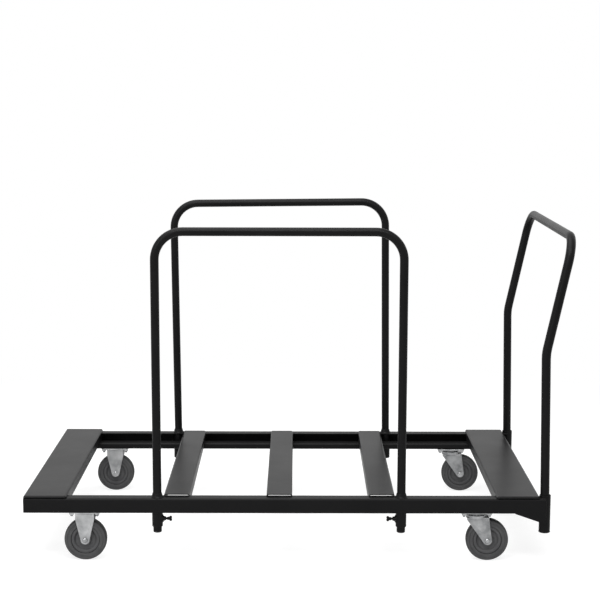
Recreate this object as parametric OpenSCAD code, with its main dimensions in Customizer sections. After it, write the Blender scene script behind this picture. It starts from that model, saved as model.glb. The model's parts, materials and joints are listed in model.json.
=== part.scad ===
// Banquet table trolley: a low slatted deck on four casters, with a lift-out hoop along
// each side and a lift-out push handle at one end. Millimetres, +Z up, floor at Z = 0.
// +X points to the handle end, -Y is the front side.

/* [Deck] */
// Length of the deck over its two end slats
deck_len = 1524; // [1400:1:1900]
// Width of the deck over the outer faces of the rails
deck_w = 838; // [640:1:1000]
// Height of the slat tops above the rail tops
deck_rise = 7.5; // [6:0.1:15]

/* [Rails] */
// Height of a side rail
rail_h = 45; // [42:0.5:60]
// Height of the ledge that carries the slats
ledge_h = 20; // [17:0.5:24]
// Width of the ledge
ledge_w = 38; // [30:0.5:42]
// Thickness of the rail sheet
sheet_t = 3; // [2:0.1:3.5]
// Inside radius of the folds in the rails and slats
fold_r = 3; // [2:0.1:5]
// Sheet left between a socket hole and the free edge of the top flange
flange_edge = 1.3; // [1:0.1:8]
// Length of the web gusset beside the handle socket
gusset_len = 90; // [50:1:110]
// Drop of the web gusset below the rail
gusset_drop = 31.5; // [15:0.5:45]

/* [Slats] */
// Width of an end slat
end_slat_w = 127; // [90:0.5:140]
// Width of a middle slat
mid_slat_w = 76.2; // [50:0.1:110]
// Spacing of the middle slats
mid_slat_pitch = 304; // [220:1:330]
// Distance from the rail's outer face to the end of a middle slat
mid_slat_inset = 30; // [20:0.5:34]
// Offset of the hoops and middle slats from the middle of the deck
bay_shift = -7; // [-20:0.5:20]
// Thickness of the slat sheet
slat_t = 3; // [2:0.1:4]

/* [Hoops] */
// Outside diameter of the hoop tube
hoop_tube_d = 25.4; // [22:0.1:27]
// Wall of the hoop tube
hoop_wall = 1.6; // [1.2:0.1:2.5]
// Distance between the two legs of a hoop, centre to centre
hoop_span = 722; // [500:1:800]
// Height of the front hoop's top bar above the rail tops, to its centre
hoop_rise = 788.5; // [500:0.5:1000]
// Height at which the back hoop is clamped above the front one
back_hoop_lift = 15.5; // [0:0.5:17]
// Lean of the back hoop towards the handle within the play of its sockets, in degrees
back_hoop_lean = -0.62; // [-0.8:0.01:0.8]
// Centreline radius of the hoop's corners
hoop_corner_r = 82; // [50:1:140]
// Length of hoop leg that shows below its socket
hoop_leg_below = 18.5; // [8:0.5:35]
// Outside diameter of a hoop socket
socket_d = 31.75; // [30.5:0.05:33]
// Wall of a hoop socket
socket_wall = 1.6; // [1.2:0.1:1.8]
// Height of a hoop socket above the rail
socket_rise = 13; // [9:0.5:20]
// Drop of a hoop socket below the rail
socket_drop = 43.3; // [36:0.1:60]
// Thread diameter of a clamp screw
clamp_screw_d = 6.4; // [5:0.1:8]
// Width across the paddle of a clamp screw
clamp_paddle_w = 15.5; // [11:0.1:18]
// Height of the clamp screws below the rail
clamp_screw_drop = 20.5; // [16:0.1:26]

/* [Push handle] */
// Outside diameter of the handle tube
handle_tube_d = 26.7; // [24:0.1:28]
// Wall of the handle tube
handle_wall = 1.8; // [1.2:0.1:2.5]
// Height of the handle's cross bar above the rail tops, to its centre
handle_rise = 771; // [550:1:1000]
// Height of the bend in the handle legs above the rail tops
handle_bend_rise = 434; // [250:1:500]
// Lean of the handle above the bend, away from the deck, in degrees
handle_lean = 12; // [6:0.1:20]
// Rake of the handle legs towards the deck within the play of their sockets, in degrees
handle_rake = 1; // [0:0.05:1.5]
// Centreline radius of the bend in the legs
handle_bend_r = 150; // [80:1:250]
// Centreline radius of the handle's top corners
handle_corner_r = 75; // [45:1:120]
// Distance from the deck's end to the handle sockets' centres
handle_gap = 18; // [17.5:0.1:40]
// Outside diameter of a handle socket
handle_socket_d = 33.4; // [32:0.1:36]
// Wall of a handle socket
handle_socket_wall = 1.6; // [1.2:0.1:1.8]
// Height of a handle socket above the rail
handle_socket_rise = 8; // [4:0.5:20]
// Drop of a handle socket below the rail
handle_socket_drop = 57.5; // [50:0.5:80]

/* [Casters] */
// Diameter of a wheel
wheel_d = 127; // [100:1:160]
// Width of a wheel
wheel_w = 32; // [26:0.5:36]
// Inside diameter of the tyre
tyre_seat_d = 84; // [70:0.5:90]
// Length of a caster plate, along the rail
plate_len = 92; // [88:0.5:120]
// Width of a caster plate
plate_w = 70; // [60:0.5:76]
// Thickness of a caster plate
plate_t = 4; // [2.5:0.1:5]
// Distance from the rail's outer face to the middle of a caster
caster_inset = 46; // [45:0.5:60]
// Distance from the deck's left end to the fixed casters
rigid_inset = 177; // [120:0.5:240]
// Distance from the deck's right end to the swivel casters
swivel_inset = 183; // [150:0.5:240]
// Distance of a swivel caster's axle from its king pin
swivel_offset = 34; // [28:0.5:42]
// Thickness of the fork sheet
fork_t = 3; // [2.5:0.1:4]
// Radius of the rounded fork tip about the axle
fork_tip_r = 13; // [11:0.1:16]
// Diameter of an axle bolt
axle_d = 10; // [8:0.1:12]
// Diameter of a king pin
king_pin_d = 12; // [10:0.1:16]
// Thread diameter of the caster bolts
caster_bolt_d = 8; // [6:0.1:8.5]

/* [Hidden] */
$fn = 64;
front = -1;
back = 1;
left = -1;
right = 1;
// Finishes
black_coat = "#202022";
zinc = "#b8bbbd";
wheel_rubber = "#56575a";
hub_plastic = "#6a6b6e";
black_plastic = "#151516";
// Gaps: welded pieces, screwed or slipped pieces, running fits and cuts
weld_gap = 0.1;
slip_gap = 0.3;
run_gap = 0.05;
overrun = 2;
// Growth of the handle tube's diameter in its bends
bend_swell = 0.2;
// Reach of the handle's straight runs into its bends
bend_lap = 1;
// Outer radius of the folds
fold_out_r = fold_r + sheet_t;
slat_fold_r = fold_r + slat_t;

// Casters, stacked from the floor up
wheel_r = wheel_d / 2;
wheel_gap = 4.5;
crown_t = 6.8;
race_gap = 1.2;
race_t = 7;
bridge_z = wheel_d + wheel_gap;
crown_z = bridge_z + fork_t;
race_z = crown_z + crown_t + race_gap;
plate_z = race_z + race_t;
rail_z = plate_z + plate_t;
rail_top_z = rail_z + rail_h;
ledge_z = rail_z + ledge_h;
crown_r = 30;
race_r = 29;
ball_r = 3;
ball_ring_r = 22.5;
ball_count = 16;
pin_head_r = 10.5;
pin_head_t = wheel_gap - 2 * slip_gap;
plate_corner_r = 7;
// Heads, nuts and thread ends as shares of their thread's diameter
bolt_head_share = 0.66;
nut_share = 0.8;
hex_width_share = 1.625;
bolt_end_share = 0.25;
caster_end_share = 0.6;
hex_to_corner = 1 / cos(30);
bolt_edge_x = 8;
bolt_edge_y = fold_out_r + caster_bolt_d * hex_width_share / 2 + slip_gap;
bolt_dx = plate_len - 2 * bolt_edge_x;
bolt_dy = plate_w - 2 * bolt_edge_y;
bolt_spots = [for (i = [-1, 1], j = [-1, 1]) [i * bolt_dx / 2, j * bolt_dy / 2]];
hub_side = 3;
fork_gap = wheel_w + 2 * hub_side;
leg_y = fork_gap / 2;
leg_panel_margin = 7;
leg_panel_t = 1;
leg_panel_gap = 6;
leg_bolt_gap = 2.3;
rigid_leg_w = bolt_dx - (caster_bolt_d * hex_width_share * hex_to_corner + 2 * leg_bolt_gap);
rigid_leg_straight = 22;
swivel_leg_fore = 28;
swivel_leg_aft = swivel_offset + 4;
sleeve_t = 1.4;
sleeve_r = axle_d / 2 + run_gap + sleeve_t;
axle_head_r = 8;
axle_head_t = 5;
axle_dome_r = 5.5;
tyre_shoulder_r = 7;
tyre_groove_r = 1.2;
tyre_groove_share = 0.52;
rim_t = 8;
rim_w = wheel_w - 5;
web_w = 14;
hub_r = 16;
hub_w = fork_gap - 2;
web_slope = 3;

// Rails and sockets
socket_inset = sheet_t + slip_gap + max(socket_d, handle_socket_d) / 2;
flange_w = socket_inset + max(socket_d, handle_socket_d) / 2 + flange_edge;
foot_w = caster_inset + plate_w / 2;
slat_h = rail_top_z + deck_rise - ledge_z;
slat_end_gap = 2;
slat_relief = slat_fold_r + slip_gap;
slat_flange_len = deck_w - 2 * (flange_w + slat_end_gap);
socket_y = deck_w / 2 - socket_inset;
caster_y = deck_w / 2 - caster_inset;
collar_weld_r = socket_d / 2 + 3.2;
collar_weld_h = 5;
collar_lip_t = 0.8;
boss_len = 10;
boss_base_r = clamp_screw_d / 2 + 5.6;
boss_tip_r = clamp_screw_d / 2 + 1.8;
screw_neck = 6.5;
screw_point_t = 1.5;
collar_r = clamp_screw_d / 2 + 1.6;
collar_t = 1.6;
paddle_t = 4;
paddle_len = 11;
paddle_lobe_share = 0.27;
plug_rim = 4;
plug_chamfer = 2;
plug_spigot = 16;
socket_plug_rim = 2.5;
socket_plug_lip = 0.7;
socket_plug_spigot = 10;

// Lengths along X, from the deck's left end to the outside of the handle's cross bar
handle_run = (handle_rise - handle_bend_rise) * tan(handle_lean)
    - (rail_h + handle_bend_rise) * tan(handle_rake);
overall_len = deck_len + handle_gap + handle_run + handle_tube_d / 2;
deck_x0 = -overall_len / 2;
deck_x1 = deck_x0 + deck_len;
bay_x = deck_x0 + deck_len / 2 + bay_shift;
handle_x = deck_x1 + handle_gap;
rigid_x = deck_x0 + rigid_inset;
swivel_x = deck_x1 - swivel_inset;
rail_len = handle_x - deck_x0;
hoop_leg_z = rail_z - socket_drop - hoop_leg_below;
handle_leg_z = rail_z - handle_socket_drop + socket_plug_spigot + 2 * slip_gap;
socket_lip_z = rail_top_z + socket_rise;

// Shared shapes

// Rectangle with round corners, its lower left corner at the origin
module soft_rect(w, h, r) {
    translate([r, 0]) square([w - 2 * r, h]);
    translate([0, r]) square([w, h - 2 * r]);
    for (x = [r, w - r], y = [r, h - r]) translate([x, y]) circle(r);
}

module tube_ring(d, wall) {
    difference() {
        circle(d = d);
        circle(d = d - 2 * wall);
    }
}

// Straight tube along +Z
module tube_run(d, wall, len) {
    linear_extrude(len) tube_ring(d, wall);
}

// Quarter bend of tube in the XY plane, from +X to +Y about the origin
module tube_corner(d, wall, r) {
    rotate_extrude(angle = 90) translate([r, 0]) tube_ring(d, wall);
}

// Solid bend in the XY plane, from +X towards +Y about the origin
module rod_bend(d, r, angle) {
    rotate_extrude(angle = angle) translate([r, 0]) circle(d = d);
}

// Hexagon prism along +Z, given across its flats
module hex(w, h) {
    cylinder(d = w * hex_to_corner, h = h, $fn = 6);
}

// Shapes are drawn for the front side, and mirrored for the back
module on_side(side) {
    mirror([0, side == back ? 1 : 0, 0]) children();
}

// Point where a line from p touches the circle of radius r about c, on the given side
function touch_point(p, c, r, turn) =
    let (d = c - p, a = atan2(d[1], d[0]) + turn * asin(r / norm(d)))
    p + sqrt(norm(d) * norm(d) - r * r) * [cos(a), sin(a)];

// Rails and slats

// Folded sheet: outer web, top flange, foot, and a ledge folded up from the foot
module rail_section() {
    difference() {
        soft_rect(foot_w, rail_h, fold_out_r);
        translate([sheet_t, sheet_t]) soft_rect(foot_w - 2 * sheet_t, rail_h - 2 * sheet_t, fold_r);
        translate([flange_w, ledge_h / 2]) square([foot_w, rail_h]);
    }
    intersection() {
        translate([foot_w - ledge_w - fold_out_r, 0]) difference() {
            soft_rect(ledge_w + fold_out_r, ledge_h, fold_out_r);
            translate([sheet_t, sheet_t])
                soft_rect(ledge_w + fold_out_r - 2 * sheet_t, ledge_h - 2 * sheet_t, fold_r);
        }
        translate([foot_w - ledge_w, 0]) square([ledge_w, ledge_h]);
    }
}

module side_rail(side) {
    color(black_coat) on_side(side) difference() {
        union() {
            translate([deck_x0, -deck_w / 2, rail_z]) rotate([90, 0, 90])
                linear_extrude(rail_len) rail_section();
            translate([handle_x, sheet_t - deck_w / 2, rail_z]) rotate([90, 0, 0]) linear_extrude(sheet_t)
                polygon([[-gusset_len, 0], [0, -gusset_drop], [0, fold_out_r], [-gusset_len, fold_out_r]]);
        }
        for (end = [left, right])
            translate([bay_x + end * hoop_span / 2, -socket_y, rail_z - overrun])
                cylinder(d = socket_d + 2 * weld_gap, h = rail_h + 2 * overrun);
        translate([handle_x, -socket_y, rail_z - overrun])
            cylinder(d = handle_socket_d + 2 * weld_gap, h = rail_h + 2 * overrun);
        for (x = [rigid_x, swivel_x], spot = bolt_spots)
            translate([x + spot[0], spot[1] - caster_y, rail_z - overrun])
                cylinder(d = caster_bolt_d + 2 * slip_gap, h = sheet_t + 2 * overrun);
    }
}

// Sheet channel with its flanges down, standing on Z = 0
module slat_section(w) {
    intersection() {
        translate([-w / 2, -slat_fold_r]) difference() {
            soft_rect(w, slat_h + slat_fold_r, slat_fold_r);
            translate([slat_t, -slat_t]) soft_rect(w - 2 * slat_t, slat_h + slat_fold_r, fold_r);
        }
        translate([-w / 2, 0]) square([w, slat_h]);
    }
}

// Cross-section of the fold at a slat's end, from the top sheet outwards and down
module slat_lip_section() {
    intersection() {
        difference() {
            circle(slat_fold_r);
            circle(fold_r);
        }
        square(slat_fold_r);
    }
}

// The flanges stand on the ledges and are cut back to low lips over the rails.
// Between two corner reliefs, each end is folded down as well.
module slat(x, w, len) {
    run = len - 2 * slat_fold_r;
    lip_w = w - 2 * slat_relief;
    color(black_coat) translate([x, 0, ledge_z]) {
        difference() {
            rotate([90, 0, 0]) linear_extrude(run, center = true) slat_section(w);
            for (side = [front, back])
                translate([-w / 2 - overrun, side * (slat_flange_len + len) / 2 - len / 2, -overrun])
                    cube([w + 2 * overrun, len, slat_h - slat_fold_r + overrun]);
        }
        for (side = [front, back]) on_side(side == front ? back : front)
            translate([-lip_w / 2, run / 2, slat_h - slat_fold_r]) rotate([90, 0, 90])
                linear_extrude(lip_w) slat_lip_section();
    }
}

module end_slat(end) {
    slat(end == left ? deck_x0 + end_slat_w / 2 : deck_x1 - end_slat_w / 2, end_slat_w, deck_w);
}

module mid_slat(step) {
    slat(bay_x + step * mid_slat_pitch, mid_slat_w, deck_w - 2 * mid_slat_inset);
}

// Hoop sockets and their clamp screws

module at_socket(side, end) {
    translate([bay_x + end * hoop_span / 2, side * socket_y, 0]) children();
}

// Frame of a hoop: upright at the front, leaning about its socket lips at the back
module at_hoop(side) {
    translate([bay_x, side * socket_y, socket_lip_z])
        rotate([0, side == back ? back_hoop_lean : 0, 0])
            translate([0, 0, side == back ? back_hoop_lift - socket_lip_z : -socket_lip_z]) children();
}

// How far a hoop's leg stands from its socket's axis at the height of the clamp screw
function leg_shift(side) =
    side == back ? (rail_z - clamp_screw_drop - socket_lip_z) * tan(back_hoop_lean) : 0;

// Frame of a clamp screw: +Z runs out along the screw, from the socket's axis
module at_screw(side, end) {
    at_socket(side, end) translate([0, 0, rail_z - clamp_screw_drop]) rotate([0, -end * 90, 0]) children();
}

// Tube welded through both flanges, drawn in to the leg at its top
module hoop_socket(side, end) {
    bore_r = socket_d / 2 - socket_wall;
    lip_r = hoop_tube_d / 2 + slip_gap;
    color(black_coat) difference() {
        at_socket(side, end) rotate_extrude() polygon([
            [bore_r, rail_z - socket_drop],
            [socket_d / 2, rail_z - socket_drop],
            [socket_d / 2, rail_top_z],
            [collar_weld_r, rail_top_z],
            [socket_d / 2, rail_top_z + collar_weld_h],
            [lip_r + collar_lip_t, socket_lip_z],
            [lip_r, socket_lip_z],
            [bore_r, rail_top_z + collar_weld_h]
        ]);
        at_screw(side, end) cylinder(d = clamp_screw_d + 2 * slip_gap, h = socket_d);
    }
}

// Tapped boss saddled on the socket: a cone about the screw, less the socket
module clamp_boss(side, end) {
    tip = socket_d / 2 + boss_len;
    slope = (boss_base_r - boss_tip_r) / boss_len;
    color(black_coat) difference() {
        at_screw(side, end) cylinder(r1 = boss_tip_r + slope * tip, r2 = boss_tip_r, h = tip);
        at_socket(side, end) translate([0, 0, rail_z - socket_drop - overrun])
            cylinder(r = socket_d / 2 + run_gap, h = socket_drop + rail_h);
        at_screw(side, end) cylinder(d = clamp_screw_d + 2 * slip_gap, h = tip + overrun);
    }
}

module clamp_bosses() {
    for (side = [front, back], end = [left, right]) clamp_boss(side, end);
}

// Thumb screw: pointed shank, collar and a two-lobed paddle
module clamp_screw(side, end) {
    tip = hoop_tube_d / 2 + slip_gap - end * leg_shift(side);
    head = socket_d / 2 + boss_len + screw_neck;
    point_r = (clamp_screw_d - screw_point_t) / 2;
    lobe_r = clamp_paddle_w * paddle_lobe_share;
    color(black_coat) at_screw(side, end) {
        translate([0, 0, tip]) cylinder(r1 = point_r, r2 = clamp_screw_d / 2, h = screw_point_t);
        translate([0, 0, tip + screw_point_t]) cylinder(d = clamp_screw_d, h = head - tip - screw_point_t);
        translate([0, 0, head - collar_t]) cylinder(r = collar_r, h = collar_t);
        translate([0, 0, head]) rotate([90, 0, 0]) linear_extrude(paddle_t, center = true) {
            translate([-clamp_screw_d / 2, 0]) square([clamp_screw_d, paddle_len - lobe_r]);
            for (x = [lobe_r - clamp_paddle_w / 2, clamp_paddle_w / 2 - lobe_r])
                translate([x, paddle_len - lobe_r]) circle(lobe_r);
        }
    }
}

// Hoops

module hoop_tube(side) {
    straight_z = rail_top_z + hoop_rise - hoop_corner_r;
    half = hoop_span / 2;
    color(black_coat) at_hoop(side) {
        for (end = [left, right]) mirror([end == left ? 1 : 0, 0, 0]) {
            translate([half, 0, hoop_leg_z + plug_rim])
                tube_run(hoop_tube_d, hoop_wall, straight_z - hoop_leg_z - plug_rim);
            translate([half - hoop_corner_r, 0, straight_z]) rotate([90, 0, 0])
                tube_corner(hoop_tube_d, hoop_wall, hoop_corner_r);
        }
        translate([hoop_corner_r - half, 0, rail_top_z + hoop_rise]) rotate([0, 90, 0])
            tube_run(hoop_tube_d, hoop_wall, hoop_span - 2 * hoop_corner_r);
    }
}

// Round-ended plugs in the feet of the hoop legs
module hoop_plugs(side) {
    rim_r = hoop_tube_d / 2;
    spigot_r = rim_r - hoop_wall - weld_gap;
    color(black_plastic) at_hoop(side) for (end = [left, right])
        translate([end * hoop_span / 2, 0, hoop_leg_z]) rotate_extrude() polygon([
            [0, 0], [rim_r - plug_chamfer, 0], [rim_r, plug_chamfer], [rim_r, plug_rim],
            [spigot_r, plug_rim], [spigot_r, plug_rim + plug_spigot], [0, plug_rim + plug_spigot]
        ]);
}

// Push handle and its sockets

module handle_socket(side) {
    len = handle_socket_drop + rail_h + handle_socket_rise;
    color(black_coat) translate([handle_x, side * socket_y, rail_z - handle_socket_drop])
        tube_run(handle_socket_d, handle_socket_wall, len);
}

// Plugs that close the sockets from below and stop the handle legs
module handle_socket_plugs() {
    rim_r = handle_socket_d / 2 + socket_plug_lip;
    spigot_r = handle_socket_d / 2 - handle_socket_wall - weld_gap;
    color(black_plastic) for (side = [front, back])
        translate([handle_x, side * socket_y, rail_z - handle_socket_drop]) rotate_extrude() polygon([
            [0, -socket_plug_rim], [rim_r - socket_plug_rim / 2, -socket_plug_rim],
            [rim_r, -socket_plug_rim / 2], [rim_r, 0],
            [spigot_r, 0], [spigot_r, socket_plug_spigot], [0, socket_plug_spigot]
        ]);
}

// Legs and cross bar of the handle, drawn solid: once for the tube and once for its bore.
// The legs stand upright here and are raked afterwards, about the middle of their sockets.
module handle_path(d) {
    angle = handle_lean + handle_rake;
    bend_z = rail_z + (rail_h + handle_bend_rise) / cos(handle_rake);
    tangent = handle_bend_r * tan(angle / 2);
    top = (handle_rise - handle_bend_rise) / cos(handle_lean);
    for (side = [front, back]) mirror([0, side == front ? 1 : 0, 0]) {
        translate([0, socket_y, handle_leg_z])
            cylinder(d = d, h = bend_z - tangent - handle_leg_z + bend_lap);
        translate([handle_bend_r, socket_y, bend_z - tangent]) rotate([90, 0, 0])
            rotate([0, 0, 180 - angle]) rod_bend(d + bend_swell, handle_bend_r, angle);
        translate([0, 0, bend_z]) rotate([0, angle, 0]) {
            translate([0, socket_y, tangent - bend_lap])
                cylinder(d = d, h = top - handle_corner_r - tangent + 2 * bend_lap);
            translate([0, socket_y - handle_corner_r, top - handle_corner_r]) rotate([90, 0, 90])
                rod_bend(d + bend_swell, handle_corner_r, 90);
        }
    }
    translate([0, 0, bend_z]) rotate([0, angle, 0])
        translate([0, socket_y - handle_corner_r + bend_lap, top]) rotate([90, 0, 0])
            cylinder(d = d, h = 2 * (socket_y - handle_corner_r + bend_lap));
}

module handle_tube() {
    color(black_coat) translate([handle_x, 0, rail_z]) rotate([0, -handle_rake, 0])
        translate([0, 0, -rail_z]) difference() {
            handle_path(handle_tube_d);
            handle_path(handle_tube_d - 2 * handle_wall);
        }
}

// Casters

// Frames of the casters: origin on the floor, outer side to -Y
module at_rigid(side) {
    on_side(side) translate([rigid_x, -caster_y, 0]) children();
}

module at_swivel(side) {
    on_side(side) translate([swivel_x, -caster_y, 0]) children();
}

module at_wheel(side, end) {
    on_side(side)
        translate([end == left ? rigid_x : swivel_x + swivel_offset, -caster_y, wheel_r]) children();
}

module caster_plate() {
    translate([0, 0, plate_z]) difference() {
        translate([-plate_len / 2, -plate_w / 2, 0])
            linear_extrude(plate_t) soft_rect(plate_len, plate_w, plate_corner_r);
        for (spot = bolt_spots) translate([spot[0], spot[1], -overrun])
            cylinder(d = caster_bolt_d + 2 * slip_gap, h = plate_t + 2 * overrun);
    }
}

// Outline of a fork leg: straight to the shoulder height, then tapered to a round tip about the axle
module leg_outline(x0, x1, top, shoulder, axle, r) {
    polygon([
        [x0, top], [x1, top], [x1, shoulder],
        touch_point([x1, shoulder], axle, r, 1), axle,
        touch_point([x0, shoulder], axle, r, -1), [x0, shoulder]
    ]);
    translate(axle) circle(r);
}

// Pair of fork legs with a raised panel on their outer faces
module fork_legs(x0, x1, top, shoulder, axle) {
    m = leg_panel_margin;
    for (side = [front, back]) mirror([0, side == back ? 1 : 0, 0]) {
        translate([0, -leg_y, 0]) rotate([90, 0, 0]) linear_extrude(fork_t)
            leg_outline(x0, x1, top, shoulder, axle, fork_tip_r);
        translate([0, -leg_y - fork_t, 0]) rotate([90, 0, 0]) linear_extrude(leg_panel_t)
            leg_outline(x0 + m, x1 - m, top - leg_panel_gap, shoulder - leg_panel_gap,
                axle + [0, axle_head_r + fork_tip_r - m / 2], fork_tip_r - m);
    }
}

module axle_hole(x) {
    translate([x, 0, wheel_r]) rotate([90, 0, 0])
        cylinder(d = axle_d + 2 * run_gap, h = fork_gap + wheel_d, center = true);
}

// Fixed caster: the legs are folded down from the plate
module rigid_fork(side) {
    half = rigid_leg_w / 2;
    color(zinc) at_rigid(side) difference() {
        union() {
            caster_plate();
            fork_legs(-half, half, plate_z, plate_z - rigid_leg_straight, [0, wheel_r]);
        }
        axle_hole(0);
    }
}

// Plate of a swivel caster, with the upper ball race pressed under it
module swivel_plate(side) {
    color(zinc) at_swivel(side) difference() {
        union() {
            caster_plate();
            translate([0, 0, race_z]) cylinder(r1 = race_r - race_t / 2, r2 = race_r, h = race_t);
        }
        ball_groove();
        translate([0, 0, race_z - overrun])
            cylinder(d = king_pin_d + 2 * run_gap, h = rail_z - race_z + 2 * overrun);
    }
}

// Round groove that both races share
module ball_groove() {
    translate([0, 0, race_z - race_gap / 2]) rotate_extrude() translate([ball_ring_r, 0])
        circle(ball_r + slip_gap);
}

module swivel_balls(side) {
    color(zinc) at_swivel(side) for (i = [0 : ball_count - 1])
        rotate(i * 360 / ball_count) translate([ball_ring_r, 0, race_z - race_gap / 2]) sphere(ball_r);
}

// Rivet that holds the fork up to the plate
module king_pin(side) {
    head_z = bridge_z - slip_gap - pin_head_t;
    color(zinc) at_swivel(side) {
        translate([0, 0, head_z]) cylinder(r = pin_head_r, h = pin_head_t);
        translate([0, 0, head_z]) cylinder(d = king_pin_d, h = rail_z - slip_gap - head_z);
    }
}

// Swivel fork: crown with the lower race, bridge and two raked legs
module swivel_fork(side) {
    color(zinc) at_swivel(side) difference() {
        union() {
            translate([0, 0, crown_z]) cylinder(r = crown_r, h = crown_t);
            translate([-swivel_leg_fore, -leg_y - fork_t, bridge_z])
                cube([swivel_leg_fore + swivel_leg_aft, 2 * (leg_y + fork_t), fork_t]);
            translate([0, 0, bridge_z]) cylinder(r = crown_r, h = fork_t);
            fork_legs(-swivel_leg_fore, swivel_leg_aft, crown_z, bridge_z - fork_t, [swivel_offset, wheel_r]);
        }
        ball_groove();
        axle_hole(swivel_offset);
        translate([0, 0, bridge_z - overrun])
            cylinder(d = king_pin_d + 2 * run_gap, h = fork_t + crown_t + 2 * overrun);
    }
}

// Round-headed axle bolt, its head on the outer side
module axle_bolt() {
    outer = leg_y + fork_t;
    nut_t = axle_d * nut_share;
    rotate([90, 0, 0]) {
        translate([0, 0, -outer - nut_t - axle_d * bolt_end_share])
            cylinder(d = axle_d, h = 2 * outer + nut_t + axle_d * bolt_end_share);
        translate([0, 0, outer]) cylinder(r1 = axle_head_r, r2 = axle_dome_r, h = axle_head_t);
    }
}

module axle_nut() {
    translate([0, leg_y + fork_t, 0]) rotate([-90, 0, 0]) difference() {
        hex(axle_d * hex_width_share, axle_d * nut_share);
        translate([0, 0, -overrun]) cylinder(d = axle_d + 2 * run_gap, h = axle_d + 2 * overrun);
    }
}

// Sleeve clamped between the fork legs, on which the wheel turns
module axle_sleeve() {
    rotate([90, 0, 0]) difference() {
        cylinder(r = sleeve_r, h = fork_gap, center = true);
        cylinder(d = axle_d + 2 * run_gap, h = fork_gap + 2 * overrun, center = true);
    }
}

module rigid_axle_bolts() {
    color(zinc) for (side = [front, back]) at_wheel(side, left) axle_bolt();
}

module rigid_axle_nuts() {
    color(zinc) for (side = [front, back]) at_wheel(side, left) axle_nut();
}

module rigid_axle_sleeves() {
    color(zinc) for (side = [front, back]) at_wheel(side, left) axle_sleeve();
}

module swivel_axle_bolt(side) {
    color(zinc) at_wheel(side, right) axle_bolt();
}

module swivel_axle_nut(side) {
    color(zinc) at_wheel(side, right) axle_nut();
}

module swivel_axle_sleeve(side) {
    color(zinc) at_wheel(side, right) axle_sleeve();
}

// Tyre with rounded shoulders and a moulded ring on each side
module wheel_tyre(side, end) {
    seat_r = tyre_seat_d / 2;
    depth = wheel_r - seat_r;
    color(wheel_rubber) at_wheel(side, end) rotate([90, 0, 0]) rotate_extrude() difference() {
        union() {
            translate([seat_r, -wheel_w / 2]) soft_rect(depth, wheel_w, tyre_shoulder_r);
            translate([seat_r, -wheel_w / 2]) square([depth / 2, wheel_w]);
        }
        for (y = [-wheel_w / 2, wheel_w / 2]) translate([seat_r + depth * tyre_groove_share, y])
            circle(tyre_groove_r);
    }
}

// Moulded core: hub, dished web and rim
module wheel_core(side, end) {
    bore_r = sleeve_r + run_gap;
    rim_r = tyre_seat_d / 2 - run_gap;
    color(hub_plastic) at_wheel(side, end) rotate([90, 0, 0]) rotate_extrude() polygon([
        [bore_r, -hub_w / 2], [hub_r, -hub_w / 2], [hub_r + web_slope, -web_w / 2],
        [rim_r - rim_t - web_slope, -web_w / 2], [rim_r - rim_t, -rim_w / 2], [rim_r, -rim_w / 2],
        [rim_r, rim_w / 2], [rim_r - rim_t, rim_w / 2], [rim_r - rim_t - web_slope, web_w / 2],
        [hub_r + web_slope, web_w / 2], [hub_r, hub_w / 2], [bore_r, hub_w / 2]
    ]);
}

// Bolts and nuts that hold the four casters to the rails

module at_caster_bolts() {
    for (side = [front, back], x = [rigid_x, swivel_x], spot = bolt_spots)
        on_side(side) translate([x + spot[0], spot[1] - caster_y, 0]) children();
}

// Bolt heads stand on the foot of the rail, and the nuts are under the plates
module caster_bolts() {
    d = caster_bolt_d;
    shank = plate_t + sheet_t + d * (nut_share + caster_end_share);
    color(zinc) at_caster_bolts() translate([0, 0, rail_z + sheet_t]) {
        hex(d * hex_width_share, d * bolt_head_share);
        translate([0, 0, -shank]) cylinder(d = d, h = shank);
    }
}

module caster_nuts() {
    d = caster_bolt_d;
    color(zinc) at_caster_bolts() translate([0, 0, plate_z - d * nut_share]) difference() {
        hex(d * hex_width_share, d * nut_share);
        translate([0, 0, -overrun]) cylinder(d = d + 2 * run_gap, h = d + 2 * overrun);
    }
}

side_rail(front);  // side_rail_front
side_rail(back);  // side_rail_back
end_slat(left);  // end_slat_left
end_slat(right);  // end_slat_right
mid_slat(-1);  // mid_slat_left
mid_slat(0);  // mid_slat_centre
mid_slat(1);  // mid_slat_right
hoop_socket(front, left);  // hoop_socket_front_left
hoop_socket(front, right);  // hoop_socket_front_right
hoop_socket(back, left);  // hoop_socket_back_left
hoop_socket(back, right);  // hoop_socket_back_right
clamp_bosses();
handle_socket(front);  // handle_socket_front
handle_socket(back);  // handle_socket_back
handle_socket_plugs();
hoop_tube(front);  // hoop_tube_front
hoop_tube(back);  // hoop_tube_back
hoop_plugs(front);  // hoop_plugs_front
hoop_plugs(back);  // hoop_plugs_back
handle_tube();
clamp_screw(front, left);  // clamp_screw_front_left
clamp_screw(front, right);  // clamp_screw_front_right
clamp_screw(back, left);  // clamp_screw_back_left
clamp_screw(back, right);  // clamp_screw_back_right
caster_bolts();
caster_nuts();
rigid_fork(front);  // rigid_fork_front
rigid_fork(back);  // rigid_fork_back
rigid_axle_bolts();
rigid_axle_nuts();
rigid_axle_sleeves();
swivel_plate(front);  // swivel_plate_front
swivel_plate(back);  // swivel_plate_back
king_pin(front);  // king_pin_front
king_pin(back);  // king_pin_back
swivel_balls(front);  // swivel_balls_front
swivel_balls(back);  // swivel_balls_back
swivel_fork(front);  // swivel_fork_front
swivel_fork(back);  // swivel_fork_back
swivel_axle_bolt(front);  // swivel_axle_bolt_front
swivel_axle_bolt(back);  // swivel_axle_bolt_back
swivel_axle_nut(front);  // swivel_axle_nut_front
swivel_axle_nut(back);  // swivel_axle_nut_back
swivel_axle_sleeve(front);  // swivel_axle_sleeve_front
swivel_axle_sleeve(back);  // swivel_axle_sleeve_back
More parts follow.
